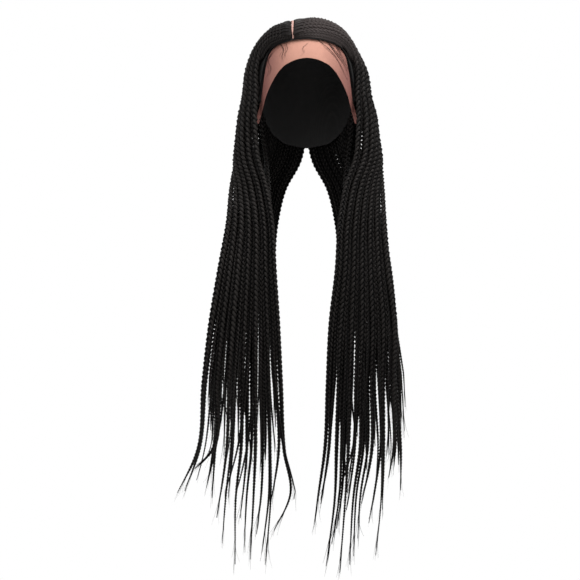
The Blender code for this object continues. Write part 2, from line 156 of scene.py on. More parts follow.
def ramp(
    tree: bpy.types.NodeTree, factor: bpy.types.NodeSocket, stops: list[tuple[float, str]]
) -> bpy.types.NodeSocket:
    """Add a colour ramp.

    Args:
        tree: The node tree.
        factor: The socket that drives the ramp.
        stops: Place from 0 to 1 and sRGB hex colour of each stop.

    Returns:
        The ramp's colour socket.
    """
    made = add_node(tree, "ShaderNodeValToRGB", {"Fac": factor})
    elements = made.color_ramp.elements
    while len(elements) < len(stops):
        elements.new(0.5)
    for element, (place, colour) in zip(elements, stops):
        element.position = place
        element.color = linear(colour)
    return made.outputs["Color"]


def map_range(
    tree: bpy.types.NodeTree,
    value: bpy.types.NodeSocket,
    source: tuple[float, float] = (0.0, 1.0),
    target: tuple[float, float] = (0.0, 1.0),
) -> bpy.types.NodeSocket:
    """Map a socket's value from one range onto another, held at both ends."""
    names = ("From Min", "From Max", "To Min", "To Max")
    made = add_node(
        tree, "ShaderNodeMapRange", {"Value": value, **dict(zip(names, (*source, *target)))}
    )
    return made.outputs[0]


def multiply(
    tree: bpy.types.NodeTree, first: bpy.types.NodeSocket, second: bpy.types.NodeSocket
) -> bpy.types.NodeSocket:
    """Multiply the values of two sockets."""
    made = add_node(tree, "ShaderNodeMath", {0: first, 1: second}, operation="MULTIPLY")
    return made.outputs[0]


def raised(
    tree: bpy.types.NodeTree,
    height: bpy.types.NodeSocket,
    depth_mm: float,
    strength: float,
    invert: bool = False,
) -> bpy.types.NodeSocket:
    """Add a bump of a depth in mm, and return its normal."""
    inputs = {"Height": height, "Distance": depth_mm * MM, "Strength": strength}
    return add_node(tree, "ShaderNodeBump", inputs, invert=invert).outputs["Normal"]


def mottle(
    tree: bpy.types.NodeTree, place: bpy.types.Node, scale: float, detail: float = 2.0
) -> bpy.types.NodeSocket:
    """Add a soft uneven pattern on Object coordinates, with scale spots to a metre."""
    inputs = {"Vector": place.outputs["Object"], "Scale": scale, "Detail": detail}
    return add_node(tree, "ShaderNodeTexNoise", inputs).outputs["Fac"]


def finish_surface(material: bpy.types.Material, inputs: dict) -> bpy.types.Material:
    """Add the shader with its inputs, and the output that it feeds."""
    shader = add_node(material.node_tree, "ShaderNodeBsdfPrincipled", inputs)
    surface = {"Surface": shader.outputs["BSDF"]}
    add_node(material.node_tree, "ShaderNodeOutputMaterial", surface)
    return material


@dataclass(frozen=True)
class BraidingHair:
    """Modacrylic braiding hair: wet-spun black filament, combed in locks and plaited.

    The filaments lie side by side along each lock, so it has a silky streak along the lock
    and a soft, narrow light across it. A filament is 0.07 mm thick, which is too fine to
    show, so the streaks are drawn 0.45 mm apart. The creases between the strands are darkened
    with painted shade, and the crests lightened with a painted highlight, streaked along the
    filaments. The crown catches the most light, so painted light makes it paler, above all
    on the right of the part.
    """

    name: str = "modacrylic_hair_plaited"
    # The next three colours are painted shade in the creases, the hair's own black, and a painted
    # highlight on the crests.
    crease: str = "010101"
    lock: str = "070606"
    crest: str = "1e1c1b"
    # Painted light on the crown: this colour and the spans below say where it is mixed in, above all
    # right of the part.
    crown: str = "342f2e"
    crown_from_mm: tuple = (-70.0, -12.0)
    crown_right_mm: tuple = (-30.0, 15.0)
    crown_left_share: float = 0.12
    roughness: float = 0.34
    specular: float = 0.028
    streak_mm: float = 0.45
    streak_length_mm: float = 14.0
    bump_mm: float = 0.05

    def build(self) -> bpy.types.Material:
        """Make the material on the piece's own UV map, in metres round and along a lock."""
        material, tree = empty_material(self.name)
        place = add_node(tree, "ShaderNodeTexCoord")
        across, along = 1 / (self.streak_mm * MM), 1 / (self.streak_length_mm * MM)
        streaks = add_node(
            tree,
            "ShaderNodeMapping",
            {"Vector": place.outputs["UV"], "Scale": (across, along, 1.0)},
        )
        fibre = add_node(
            tree,
            "ShaderNodeTexNoise",
            {"Vector": streaks.outputs["Vector"], "Scale": 1.0, "Detail": 3.0},
            noise_dimensions="2D",
        )
        relief = add_node(tree, "ShaderNodeAttribute", attribute_name="relief")
        # The colour is painted light: shade in the creases and a highlight on the crests, set by the
        # relief and streaked along the fibres, then paler painted light on the crown.
        painted_light_streaks = map_range(tree, fibre.outputs["Fac"], (0.3, 0.7), (0.65, 1.25))
        shade = multiply(tree, relief.outputs["Fac"], painted_light_streaks)
        stops = [(0.05, self.crease), (0.45, self.lock), (1.0, self.crest)]
        colour = self._lighten_crown(tree, place, shade, ramp(tree, shade, stops))
        bump = raised(tree, fibre.outputs["Fac"], self.bump_mm, 0.8)
        dull = (self.roughness - 0.07, self.roughness + 0.12)
        rough = map_range(tree, fibre.outputs["Fac"], target=dull)
        tangent = add_node(tree, "ShaderNodeTangent", direction_type="UV_MAP")
        return finish_surface(
            material,
            {
                "Base Color": colour,
                "Roughness": rough,
                "Normal": bump,
                "Tangent": tangent.outputs["Tangent"],
                "IOR": 1.5,
                "Specular IOR Level": self.specular,
                "Anisotropic": 0.4,
            },
        )

    def _lighten_crown(
        self,
        tree: bpy.types.NodeTree,
        place: bpy.types.Node,
        shade: bpy.types.NodeSocket,
        colour: bpy.types.NodeSocket,
    ) -> bpy.types.NodeSocket:
        """Mix painted light into the crown's colour, by height and by how far right it lies.

        Args:
            tree: The material's node tree.
            place: The texture coordinates.
            shade: The value of painted shade and highlight that tells crests from creases.
            colour: The colour of the hair elsewhere.

        Returns:
            The socket of the mixed colour.
        """
        # The mask of painted light grows with height and towards the right, and is strongest on the
        # crests.
        split = add_node(tree, "ShaderNodeSeparateXYZ", {"Vector": place.outputs["Object"]})
        spans = (("Z", self.crown_from_mm, 0.0), ("X", self.crown_right_mm, self.crown_left_share))
        height, right = (
            map_range(tree, split.outputs[axis], (low * MM, high * MM), (least, 1.0))
            for axis, (low, high), least in spans
        )
        share = multiply(tree, height, right)
        crest = add_node(tree, "ShaderNodeMath", {0: shade, 1: 0.5, 2: 0.5}, operation="MULTIPLY_ADD")
        factor = multiply(tree, share, crest.outputs[0])
        mixed = add_node(
            tree,
            "ShaderNodeMixRGB",
            {"Fac": factor, "Color1": colour, "Color2": linear(self.crown)},
        )
        return mixed.outputs[0]


@dataclass(frozen=True)
class StretchNet:
    """Warp-knitted nylon and elastane net, dyed black: matt, soft, with an open diamond mesh.

    The mesh of a wig cap is about 1.5 mm, and each knot stands a little proud of it.
    """

    name: str = "nylon_elastane_net_knitted"
    thread: str = "141313"
    hole: str = "050505"
    mesh_mm: float = 1.5
    knot_mm: float = 0.5
    roughness: float = 0.8

    def build(self) -> bpy.types.Material:
        """Make the material on Object coordinates."""
        material, tree = empty_material(self.name)
        place = add_node(tree, "ShaderNodeTexCoord")
        turned = add_node(
            tree,
            "ShaderNodeMapping",
            {"Vector": place.outputs["Object"], "Rotation": (0.6, 0.5, math.radians(45))},
        )
        cells = add_node(
            tree,
            "ShaderNodeTexVoronoi",
            {"Vector": turned.outputs["Vector"], "Scale": 1 / (self.mesh_mm * MM), "Randomness": 0.15},
            feature="DISTANCE_TO_EDGE",
        )
        colour = ramp(tree, cells.outputs["Distance"], [(0.08, self.thread), (0.22, self.hole)])
        bump = raised(tree, cells.outputs["Distance"], self.knot_mm, 0.7, invert=True)
        look = {"Base Color": colour, "Roughness": self.roughness, "Normal": bump}
        return finish_surface(material, {**look, "Specular IOR Level": 0.25})


@dataclass(frozen=True)
class WigLace:
    """Skin-toned polyester wig lace: a very fine sheer net, tinted, with soft matt threads.

    Real holes are about 0.5 mm. They are drawn 1.1 mm apart so that the net still shows.
    The tint is deeper towards the ear tabs, further from the middle.
    """

    name: str = "polyester_wig_lace_tinted"
    middle: str = "956c5e"
    sides: str = "6f4842"
    mesh_mm: float = 1.1
    thread_mm: float = 0.12
    middle_mm: float = 20.0
    cover: float = 0.8
    half_width_mm: float = 70.0

    def build(self) -> bpy.types.Material:
        """Make the material: the net follows the UV map, the tint the Object coordinates."""
        material, tree = empty_material(self.name)
        place = add_node(tree, "ShaderNodeTexCoord")
        split = add_node(tree, "ShaderNodeSeparateXYZ", {"Vector": place.outputs["Object"]})
        side = add_node(tree, "ShaderNodeMath", {0: split.outputs["X"]}, operation="ABSOLUTE")
        share = map_range(tree, side.outputs[0], (self.middle_mm * MM, self.half_width_mm * MM))
        uneven = {0: mottle(tree, place, 45.0, 3.0), 1: 0.35, 2: share}
        spread = add_node(tree, "ShaderNodeMath", uneven, operation="MULTIPLY_ADD")
        tint = ramp(tree, spread.outputs[0], [(0.2, self.middle), (1.0, self.sides)])
        turned = add_node(
            tree,
            "ShaderNodeMapping",
            {
                "Vector": place.outputs["UV"],
                "Rotation": (0.0, 0.0, math.radians(45)),
                "Scale": (1 / (self.mesh_mm * MM),) * 3,
            },
        )
        cells = add_node(
            tree,
            "ShaderNodeTexVoronoi",
            {"Vector": turned.outputs["Vector"], "Scale": 1.0, "Randomness": 0.1},
            feature="DISTANCE_TO_EDGE",
            voronoi_dimensions="2D",
        )
        thread = map_range(tree, cells.outputs["Distance"], (0.1, 0.2), (1.0, self.cover))
        bump = raised(tree, thread, self.thread_mm, 0.5)
        look = {"Base Color": tint, "Alpha": thread, "Roughness": 0.75, "Normal": bump}
        return finish_surface(material, {**look, "Specular IOR Level": 0.2})


@dataclass(frozen=True)
class ScalpTape:
    """Skin-toned silk tape under the part: smooth woven, matt and faintly mottled."""

    name: str = "silk_scalp_tape_woven"
    pale: str = "a07c73"
    deep: str = "6f544d"
    weave_mm: float = 0.4
    thread_mm: float = 0.05

    def build(self) -> bpy.types.Material:
        """Make the material on Object coordinates."""
        material, tree = empty_material(self.name)
        place = add_node(tree, "ShaderNodeTexCoord")
        weave = add_node(
            tree,
            "ShaderNodeTexChecker",
            {"Vector": place.outputs["Object"], "Scale": 1 / (self.weave_mm * MM)},
        )
        colour = ramp(tree, mottle(tree, place, 220.0, 4.0), [(0.3, self.deep), (0.65, self.pale)])
        bump = raised(tree, weave.outputs["Fac"], self.thread_mm, 0.4)
        look = {"Base Color": colour, "Roughness": 0.6, "Normal": bump, "Specular IOR Level": 0.25}
        return finish_surface(material, look)


@dataclass(frozen=True)
class StudioFloor:
    """Rolled vinyl studio floor, pale and matt, with a faint unevenness."""

    name: str = "vinyl_floor_matt"
    pale: str = "f2f2f0"
    shade: str = "ececea"

    def build(self) -> bpy.types.Material:
        """Make the material on Object coordinates."""
        material, tree = empty_material(self.name)
        place = add_node(tree, "ShaderNodeTexCoord")
        colour = ramp(tree, mottle(tree, place, 0.8), [(0.3, self.shade), (0.7, self.pale)])
        return finish_surface(
            material, {"Base Color": colour, "Roughness": 0.7, "Specular IOR Level": 0.2}
        )


def unit(vectors: np.ndarray) -> np.ndarray:
    """Scale each row of an array to length 1."""
    return vectors / np.maximum(np.linalg.norm(vectors, axis=-1, keepdims=True), 1e-12)


def mesh_points(node: bpy.types.Object) -> np.ndarray:
    """The vertices of an object, as rows."""
    points = np.zeros(len(node.data.vertices) * 3)
    node.data.vertices.foreach_get("co", points)
    return points.reshape(-1, 3)


@dataclass
class Centreline:
    """The line through the middle of a braid's solid, with its radius at each point."""

    points: np.ndarray
    radii: np.ndarray

    @classmethod
    def of_node(cls, node: bpy.types.Object) -> "Centreline":
        """Read the rings of a tube-shaped solid, from its root to its tip.

        Args:
            node: The CAD node of a braid.

        Returns:
            The ring centres and radii, root first.
        """
        places = np.round(mesh_points(node) / 1e-6).astype(np.int64)
        unique, index = np.unique(places, axis=0, return_inverse=True)
        points = unique * 1e-6
        neighbours = [set() for _ in points]
        for polygon in node.data.polygons:
            corners = [int(index[v]) for v in polygon.vertices]
            for corner in corners:
                neighbours[corner].update(corners)
        ring = set(np.argsort(points[:, 2])[:BRAID_SIDES].tolist())
        seen, centres, radii = set(ring), [], []
        while ring:
            corners = points[sorted(ring)]
            centre = corners.mean(axis=0)
            centres.append(centre)
            radii.append(np.linalg.norm(corners - centre, axis=1).mean())
            ring = set().union(*(neighbours[v] for v in ring)) - seen
            seen |= ring
        return cls(np.array(centres[::-1]), np.array(radii[::-1]))

    def smooth(self, step: float) -> "Centreline":
        """Draw a smooth line through the points, with about one point each step."""
        points, radii = self.points, self.radii
        spans = np.linalg.norm(np.diff(points, axis=0), axis=1)
        knots = np.concatenate([[0], np.cumsum(spans)])
        slopes = np.gradient(points, knots, axis=0)
        length = knots[-1]
        wanted = np.linspace(0, length, max(int(length / step), 8))
        at = np.clip(np.searchsorted(knots, wanted, side="right") - 1, 0, len(knots) - 2)
        width = (knots[at + 1] - knots[at])[:, None]
        t = ((wanted - knots[at]) / width[:, 0])[:, None]
        drawn = (
            (2 * t**3 - 3 * t**2 + 1) * points[at]
            + (t**3 - 2 * t**2 + t) * width * slopes[at]
            + (3 * t**2 - 2 * t**3) * points[at + 1]
            + (t**3 - t**2) * width * slopes[at + 1]
        )
        return Centreline(drawn, np.interp(wanted, knots, radii))

    @property
    def lengths(self) -> np.ndarray:
        """The distance of each point from the root, along the line."""
        spans = np.linalg.norm(np.diff(self.points, axis=0), axis=1)
        return np.concatenate([[0], np.cumsum(spans)])

    def at(self, distances: np.ndarray) -> tuple[np.ndarray, np.ndarray]:
        """Places and radii at distances from the root, straight on past the tip."""
        lengths = self.lengths
        clipped = np.minimum(distances, lengths[-1])
        places = np.stack([np.interp(clipped, lengths, c) for c in self.points.T], axis=1)
        end = unit(self.points[-1] - self.points[-4])
        places += np.maximum(distances - lengths[-1], 0)[:, None] * end
        return places, np.interp(clipped, lengths, self.radii)

    def at_heights(self, heights: np.ndarray) -> tuple[np.ndarray, np.ndarray]:
        """Places and radii at heights below the crown, where the line only goes down."""
        down = -self.points[:, 2]
        places = np.stack([np.interp(-heights, down, c) for c in self.points.T], axis=1)
        return places, np.interp(-heights, down, self.radii)


def outward_frames(points: np.ndarray, turn: np.ndarray) -> tuple[np.ndarray, ...]:
    """Directions along a line, across it and outward from the cap.

    Args:
        points: The line's points, as rows.
        turn: How far each point's frame is turned about the line, in radians.

    Returns:
        Unit vectors along, across and outward, one of each for each point.
    """
    along = unit(np.gradient(points, axis=0))
    middle = np.array([0.0, 0.0, -0.11])
    outward = points - middle
    outward[:, 2] = np.where(points[:, 2] > middle[2], outward[:, 2], 0)
    outward = unit(outward - (outward * along).sum(axis=1, keepdims=True) * along)
    across = np.cross(along, outward)
    cosine, sine = np.cos(turn)[:, None], np.sin(turn)[:, None]
    return along, across * cosine + outward * sine, outward * cosine - across * sine


@dataclass
class MeshStore:
    """Vertices, faces and UVs of many locks that become one mesh.

    A plaited lock's surface counts as the floor of the creases up to crease_reach, and as the
    top of the crests crest_rise beyond it, both as shares of the braid's radius. The hair's
    painted shade and painted highlight follow this relief.
    """

    vertices: list = field(default_factory=list)
    faces: list = field(default_factory=list)
    uvs: list = field(default_factory=list)
    reliefs: list = field(default_factory=list)
    count: int = 0
    crease_reach: float = 0.58
    crest_rise: float = 0.4

    def add_lock(
        self,
        points: np.ndarray,
        across: np.ndarray,
        outward: np.ndarray,
        widths: np.ndarray,
        depths: np.ndarray,
        sides: int,
        core: tuple[np.ndarray, np.ndarray] | None = None,
    ) -> None:
        """Add a closed lock of hair: an oval tube along a line.

        Args:
            points: The line's points, as rows.
            across: The direction of the oval's width at each point.
            outward: The direction of the oval's depth at each point.
            widths: Half the oval's width at each point.
            depths: Half the oval's depth at each point.
            sides: How many sides the tube has.
            core: The middle line of the braid that the lock is plaited into, and its radii,
                which tell the crests from the creases. None for hair that lies by itself.
        """
        rings = len(points)
        angles = np.arange(sides) * 2 * math.pi / sides
        ring = (
            points[:, None]
            + across[:, None] * (widths[:, None] * np.cos(angles))[..., None]
            + outward[:, None] * (depths[:, None] * np.sin(angles))[..., None]
        )
        self.vertices.append(ring.reshape(-1, 3))
        # The relief says where the hair is painted with shade, in the creases, and with a highlight, on
        # the crests.
        relief = np.full(rings * sides, 0.5)
        if core is not None:
            reach = np.linalg.norm(ring - core[0][:, None], axis=2) / core[1][:, None]
            relief = np.clip((reach.ravel() - self.crease_reach) / self.crest_rise, 0, 1)
        self.reliefs.append(relief)
        lengths = np.concatenate([[0], np.cumsum(np.linalg.norm(np.diff(points, axis=0), axis=1))])
        girth = 2 * math.pi * float(np.median(widths)) / sides
        shift = self.count * 0.0137
        i, j = np.meshgrid(np.arange(rings - 1), np.arange(sides), indexing="ij")
        i, j = i.ravel(), j.ravel()
        after = (j + 1) % sides
        base = self.count
        quads = np.stack(
            [base + i * sides + j, base + i * sides + after,
             base + (i + 1) * sides + after, base + (i + 1) * sides + j], axis=1
        )
        self.faces.extend(quads.tolist())
        u, v = shift + j * girth, lengths[i]
        corners = np.stack(
            [u, v, u + girth, v, u + girth, lengths[i + 1], u, lengths[i + 1]], axis=1
        )
        self.uvs.append(corners.ravel())
        first = [base + n for n in reversed(range(sides))]
        last = [base + (rings - 1) * sides + n for n in range(sides)]
        for cap in (first, last):
            self.faces.append(cap)
            self.uvs.append(np.tile([shift, 0.0], sides))
        self.count += rings * sides

    def to_object(self, name: str, material: bpy.types.Material) -> bpy.types.Object:
        """Make one smooth-shaded object of all the locks."""
        mesh = bpy.data.meshes.new(name)
        mesh.from_pydata(np.concatenate(self.vertices).tolist(), [], self.faces)
        layer = mesh.uv_layers.new(name="lock")
        layer.data.foreach_set("uv", np.concatenate(self.uvs))
        relief = mesh.attributes.new("relief", "FLOAT", "POINT")
        relief.data.foreach_set("value", np.concatenate(self.reliefs))
        mesh.shade_smooth()
        mesh.materials.append(material)
        made = bpy.data.objects.new(name, mesh)
        bpy.context.scene.collection.objects.link(made)
        return made


def lock_frames(path: np.ndarray, outward: np.ndarray) -> tuple[np.ndarray, ...]:
    """Directions along a lock, across it and out of the hair."""
    along = unit(np.gradient(path, axis=0))
    deep = unit(outward - (outward * along).sum(axis=1, keepdims=True) * along)
    return along, np.cross(along, deep), deep


@dataclass
class Plait:
    """Three strands laid over and under each other round a line, with a loose end.

    The shares are of the radius of the line. A plait is one full turn of a strand, and it
    gets shorter as the braid gets thinner, down to its least length.
    """

    line: Centreline
    strand_sides: int
    rings_a_plait: int
    plait_share: float = 1.8
    least_plait_mm: float = 6.5
    swing: float = 0.64
    depth_swing: float = 0.42
    strand_width: float = 0.47
    strand_depth: float = 0.5
    girths: tuple = (0.95, 1.07)
    turn: float = 0.25
    sway: float = 0.35
    sway_m: float = 0.23
    loose_mm: float = 48.0
    wisps: int = 7
    far_wisps: int = 2
    far_mm: tuple = (5.0, 12.0)
    near_mm: tuple = (0.5, 4.0)
    wisp_mm: tuple = (0.35, 0.55)
    wisp_bow_mm: float = 1.5
    wisp_rings: int = 9

    def weave(self, store: MeshStore, rng: random.Random) -> None:
        """Add the strands and the loose end to a mesh."""
        self._lay_strands(store, rng)
        self._loosen_end(store, rng)

    def _steps(self) -> tuple[np.ndarray, np.ndarray]:
        """Distances from the root of each ring, and the plait's phase there."""
        lengths, distance, phase = self.line.lengths, 0.0, 0.0
        distances, phases = [], []
        end = lengths[-1] - 4 * MM
        while distance < end:
            distances.append(distance)
            phases.append(phase)
            radius = float(np.interp(distance, lengths, self.line.radii))
            plait = self.plait_share * 2 * radius + self.least_plait_mm * MM
            distance += plait / self.rings_a_plait
            phase += 2 * math.pi / self.rings_a_plait
        return np.array(distances), np.array(phases)

    def _lay_strands(self, store: MeshStore, rng: random.Random) -> None:
        """Lay the three strands over and under each other down to the loose end."""
        distances, phases = self._steps()
        points, radii = self.line.at(distances)
        radii = radii * rng.uniform(*self.girths)
        turn = rng.uniform(-self.turn, self.turn) + rng.uniform(-self.sway, self.sway) * np.sin(
            distances / self.sway_m + rng.uniform(0, 6)
        )
        _, across, outward = outward_frames(points, turn)
        start = rng.uniform(0, 2 * math.pi)
        left = self.line.lengths[-1] - distances
        held = np.clip(left / (self.loose_mm * MM), 0.3, 1)[:, None]
        for strand in range(3):
            angle = (phases + start + strand * 2 * math.pi / 3)[:, None]
            side = across * np.sin(angle) * self.swing * radii[:, None] * held
            depth = outward * np.sin(2 * angle) * self.depth_swing * radii[:, None] * held
            path = points + side + depth
            _, wide, deep = lock_frames(path, outward)
            widths, depths = radii * self.strand_width, radii * self.strand_depth
            store.add_lock(path, wide, deep, widths, depths, self.strand_sides, (points, radii))

    def _loosen_end(self, store: MeshStore, rng: random.Random) -> None:
        """Add the fine loose locks that the braid ends in: two of them stray further."""
        total = self.line.lengths[-1]
        for wisp in range(self.wisps):
            length = self.loose_mm * MM * rng.uniform(0.7, 1.3)
            start = total - length
            end = total + rng.uniform(-15, 12) * MM
            t = np.linspace(0, 1, self.wisp_rings)
            points, radii = self.line.at(start + (end - start) * t)
            _, across, outward = outward_frames(points, np.zeros(self.wisp_rings))
            heading = rng.uniform(0, 2 * math.pi)
            strays = rng.uniform(*(self.far_mm if wisp < self.far_wisps else self.near_mm))
            bow = rng.uniform(-self.wisp_bow_mm, self.wisp_bow_mm) * MM * np.sin(math.pi * t)
            away = radii * 0.5 * (1 - t) + strays * MM * t**2.2
            points = (
                points
                + across * (math.cos(heading) * away + bow)[:, None]
                + outward * (math.sin(heading) * away * 0.6)[:, None]
            )
            width = rng.uniform(*self.wisp_mm) * MM * (1 - 0.8 * t)
            _, wide, deep = lock_frames(points, outward)
            store.add_lock(points, wide, deep, width, width * 0.8, 4)


@dataclass
class PlaitedBraid:
    """One braid of three plaited strands round the middle line of its solid."""

    node: bpy.types.Object
    layer: Layer

    def build(self, material: bpy.types.Material) -> bpy.types.Object:
        """Make the braid and let it stand for its solid.

        Args:
            material: The hair's material.

        Returns:
            The braid's object.
        """
        rng = random.Random(f"{SEED} {self.node.name}")
        store = MeshStore()
        line = Centreline.of_node(self.node).smooth(2 * MM)
        Plait(line, self.layer.strand_sides, self.layer.rings_a_plait).weave(store, rng)
        made = store.to_object(self.node.name.replace("braid", "plait"), material)
        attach(made, "root")
        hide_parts(self.node.name)
        return made


@dataclass
class InnerPlaits:
    """The thinner braids that hang in the hollows between the neighbours of one layer.

    The wig has many more braids than there are solids. These fill the curtain where light
    would show between the solids, and stay within its thickness. Each stretch is the metres
    below the crown where it starts, and how far down it goes on until it is complete.
    """

    nodes: dict
    side: Side
    layer: Layer
    inward_mm: float = 5.0
    lower_inward_mm: float = 0.5
    drift_mm: float = 34.0
    drift_outward_mm: float = 8.0
    radii_mm: tuple = (1.7, 3.4)
    root_radius_mm: float = 1.2
    tip_radius_mm: float = 0.7
    top_mm: float = -66.0
    tips_mm: tuple = (-765.0, -600.0)
    above_shorter_mm: float = 15.0
    step_mm: float = 8.0
    inward_stretch: tuple = (0.11, 0.07)
    lower_stretch: tuple = (0.27, 0.1)
    drift_stretch: tuple = (0.47, 0.23)
    outward_stretch: tuple = (0.45, 0.08)
    root_growth: float = 0.06
    tip_growth: float = 0.014

    def build(self, material: bpy.types.Material) -> bpy.types.Object:
        """Make all the inner braids of the layer on one side as one piece.

        Args:
            material: The hair's material.

        Returns:
            The inner braids' object.
        """
        words = f"{self.side.word}_{self.layer.word}"
        rng = random.Random(f"{SEED} inner {words}")
        store = MeshStore()
        lines = [
            Centreline.of_node(self.nodes[f"braid_{words}_{number + 1}"]).smooth(2 * MM)
            for number in range(self.layer.count)
        ]
        for first, second in zip(lines, lines[1:]):
            Plait(self._between(first, second, rng), 4, 6, wisps=4).weave(store, rng)
        made = store.to_object(f"inner_plaits_{words}", material)
        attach(made, "root")
        return made

    def _between(self, first: Centreline, second: Centreline, rng: random.Random) -> Centreline:
        """The line down the hollow behind two neighbouring braids."""
        shorter = max(first.points[-1, 2], second.points[-1, 2])
        tip = max(rng.uniform(*self.tips_mm) * MM, shorter + self.above_shorter_mm * MM)
        count = int((self.top_mm * MM - tip) / (self.step_mm * MM))
        heights = np.linspace(self.top_mm * MM, tip, count)
        (one, one_radii), (two, two_radii) = first.at_heights(heights), second.at_heights(heights)
        middle, gap = (one + two) / 2, two - one
        open_gap = np.linalg.norm(gap, axis=1) - one_radii - two_radii
        inward = unit(np.stack([-gap[:, 1], gap[:, 0], np.zeros(count)], axis=1))
        inward *= np.where((inward * middle).sum(axis=1) > 0, -1, 1)[:, None]
        depth = self.inward_mm * MM * self._share_down(heights, self.inward_stretch)
        lower = self._share_down(heights, self.lower_stretch)
        depth = depth * (1 - lower) + self.lower_inward_mm * MM * lower
        drifted = self._share_down(heights, self.drift_stretch) ** 2
        aside = unit(gap) * (rng.uniform(-self.drift_mm, self.drift_mm) * MM * drifted)[:, None]
        depth -= self.drift_outward_mm * MM * self._share_down(heights, self.outward_stretch)
        smallest, largest = (radius * MM for radius in self.radii_mm)
        radii = np.clip(open_gap / 2 + smallest, smallest, largest)
        radii = np.minimum(radii, self.root_radius_mm * MM + (heights[0] - heights) * self.root_growth)
        radii = np.minimum(radii, self.tip_radius_mm * MM + (heights - tip) * self.tip_growth)
        return Centreline(middle + inward * depth[:, None] + aside, radii).smooth(2 * MM)

    @staticmethod
    def _share_down(heights: np.ndarray, stretch: tuple[float, float]) -> np.ndarray:
        """How much of a stretch lies above each height, from 0 to 1."""
        start, span = stretch
        return np.clip((-heights - start) / span, 0, 1)


